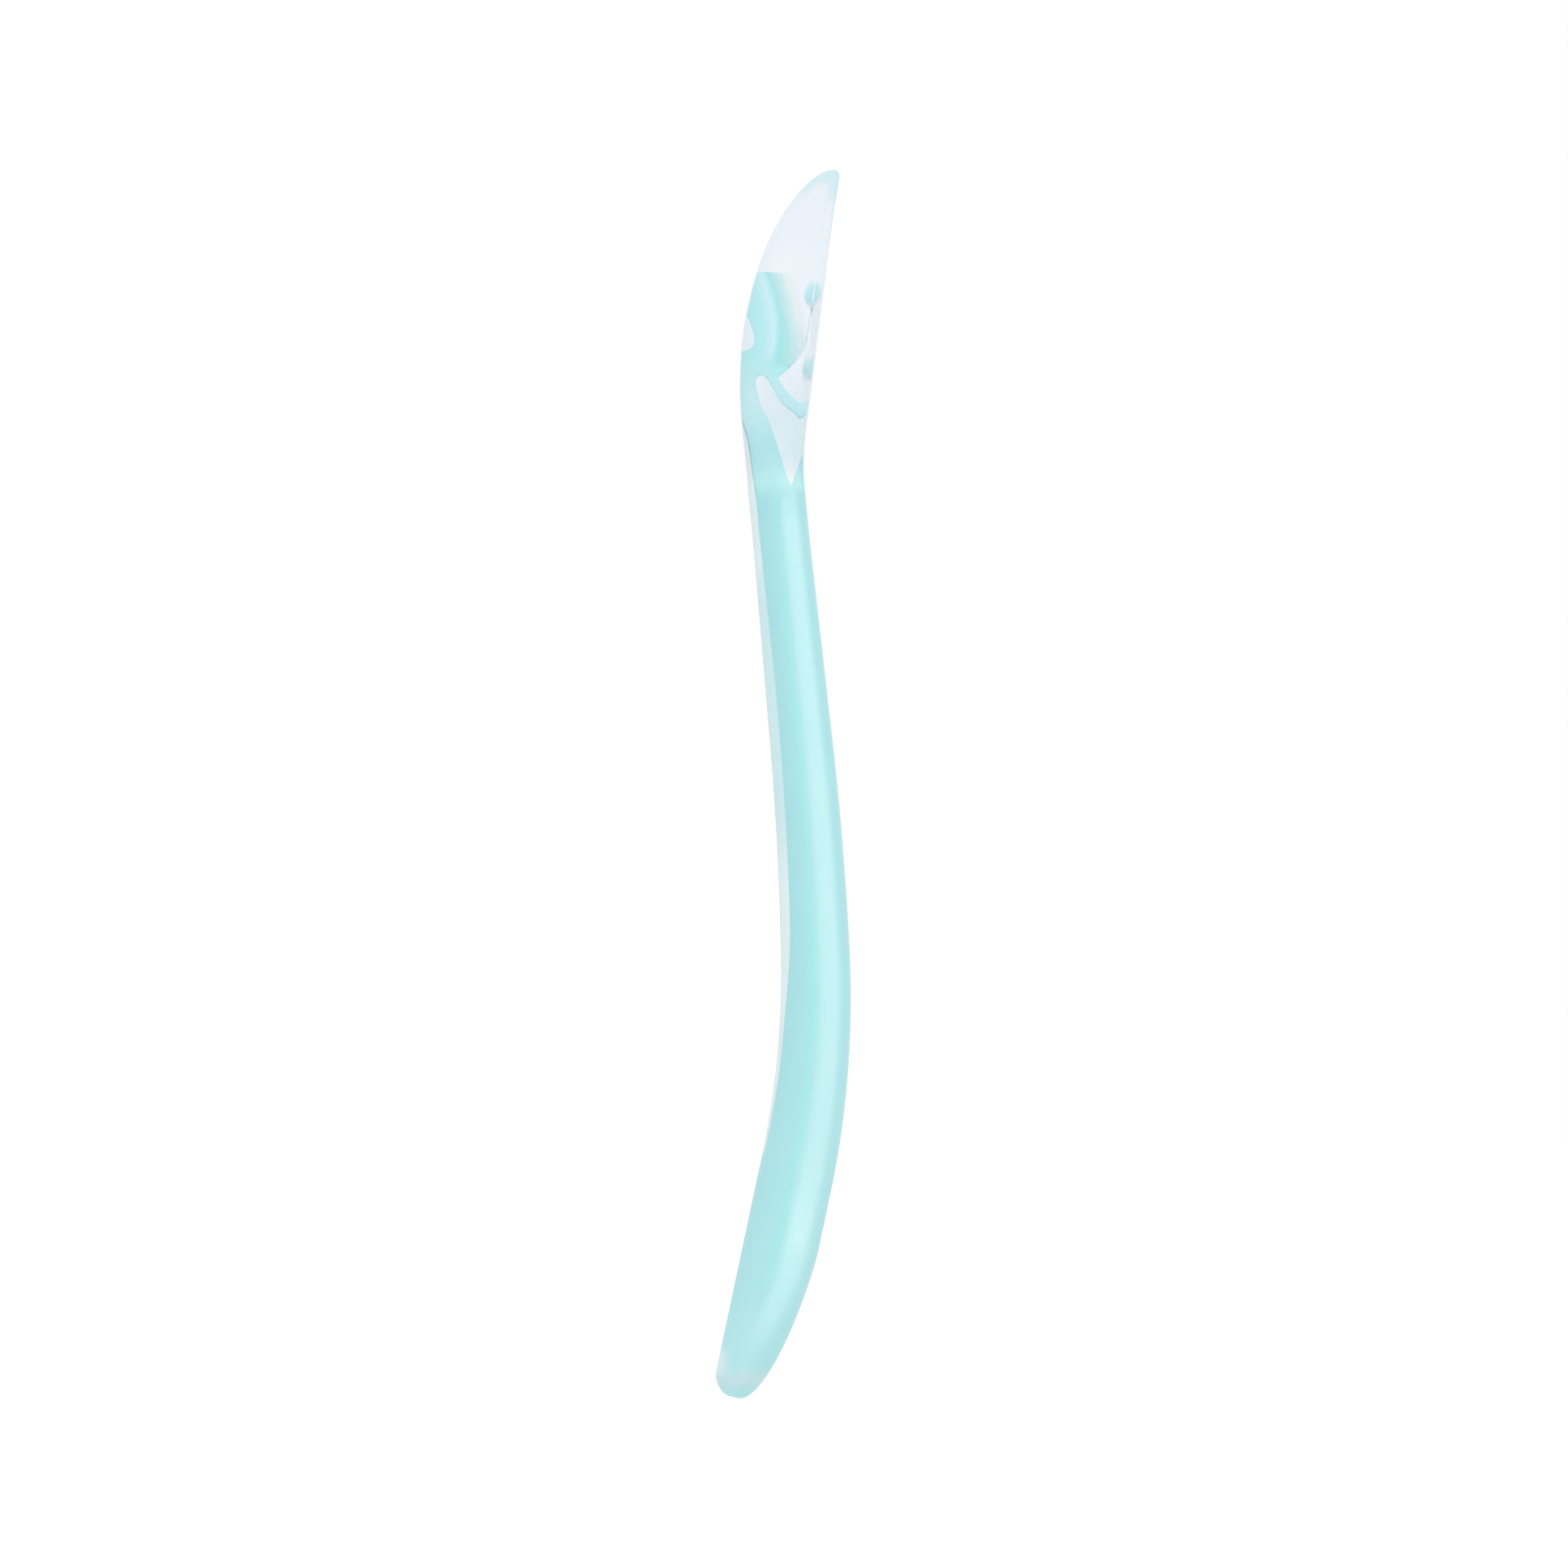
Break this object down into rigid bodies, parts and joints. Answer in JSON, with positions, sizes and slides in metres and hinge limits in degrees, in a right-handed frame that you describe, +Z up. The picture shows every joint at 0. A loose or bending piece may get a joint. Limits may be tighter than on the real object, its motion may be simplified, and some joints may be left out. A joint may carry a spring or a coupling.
{
  "type": "saliva ejector tip",
  "caption": "Bendable aqua suction tube with a clear wired spine, a tapered tail and a clear knife-shaped hood over a windowed strainer.",
  "frame": {"origin": "centre of the tail spigot at its lower end, where the drawn-in nose starts", "axes": "+Z up along the tail spigot, the tube bends towards -X, the hood's mouth opens towards +X, and the XZ plane is the plane of symmetry"},
  "size_m": [0.0262, 0.0078, 0.1205],
  "materials": {
    "aqua_plastic": "soft translucent vinyl, satin gloss",
    "hood_plastic": "clear, glossy",
    "spine_plastic": "clear with a grey cast, glossy",
    "wire": "tinned, dull"
  },
  "bodies": {
    "tail": {"tail_tube": "aqua_plastic", "tail_spine": "spine_plastic", "tail_wire": "wire"},
    "link_1": {"link_1_tube": "aqua_plastic", "link_1_spine": "spine_plastic", "link_1_wire": "wire"},
    "link_2": {"link_2_tube": "aqua_plastic", "link_2_spine": "spine_plastic", "link_2_wire": "wire"},
    "link_3": {"link_3_tube": "aqua_plastic", "link_3_spine": "spine_plastic", "link_3_wire": "wire"},
    "shaft": {"shaft_tube": "aqua_plastic", "shaft_spine": "spine_plastic", "shaft_wire": "wire"},
    "neck": {"neck_tube": "aqua_plastic", "neck_spine": "spine_plastic", "neck_wire": "wire"},
    "head": {"strainer": "aqua_plastic", "hood": "hood_plastic", "head_spine": "spine_plastic", "head_wire": "wire"}
  },
  "joints": [
    {"name": "lower_bend", "type": "hinge", "parent": "tail", "child": "link_1", "pos_m": [-0.0024, 0, 0.03003], "axis": [0, 1, 0], "range_deg": [-5.5, 5.5]},
    {"name": "lower_bend_2", "type": "hinge", "parent": "link_1", "child": "link_2", "pos_m": [-0.00398, 0, 0.03623], "axis": [0, 1, 0], "range_deg": [-5.5, 5.5]},
    {"name": "lower_bend_3", "type": "hinge", "parent": "link_2", "child": "link_3", "pos_m": [-0.00569, 0, 0.0424], "axis": [0, 1, 0], "range_deg": [-5.5, 5.5]},
    {"name": "lower_bend_4", "type": "hinge", "parent": "link_3", "child": "shaft", "pos_m": [-0.00751, 0, 0.04853], "axis": [0, 1, 0], "range_deg": [-5.5, 5.5]},
    {"name": "neck_bend", "type": "hinge", "parent": "shaft", "child": "neck", "pos_m": [-0.01288, 0, 0.0654], "axis": [0, 1, 0], "range_deg": [-5, 5]},
    {"name": "neck_bend_2", "type": "hinge", "parent": "neck", "child": "head", "pos_m": [-0.01433, 0, 0.06997], "axis": [0, 1, 0], "range_deg": [-5, 5]}
  ],
  "couplings": [
    {"joint": "lower_bend_2", "follows": "lower_bend", "ratio": 1},
    {"joint": "lower_bend_3", "follows": "lower_bend", "ratio": 1},
    {"joint": "lower_bend_4", "follows": "lower_bend", "ratio": 1},
    {"joint": "neck_bend_2", "follows": "neck_bend", "ratio": 1}
  ]
}
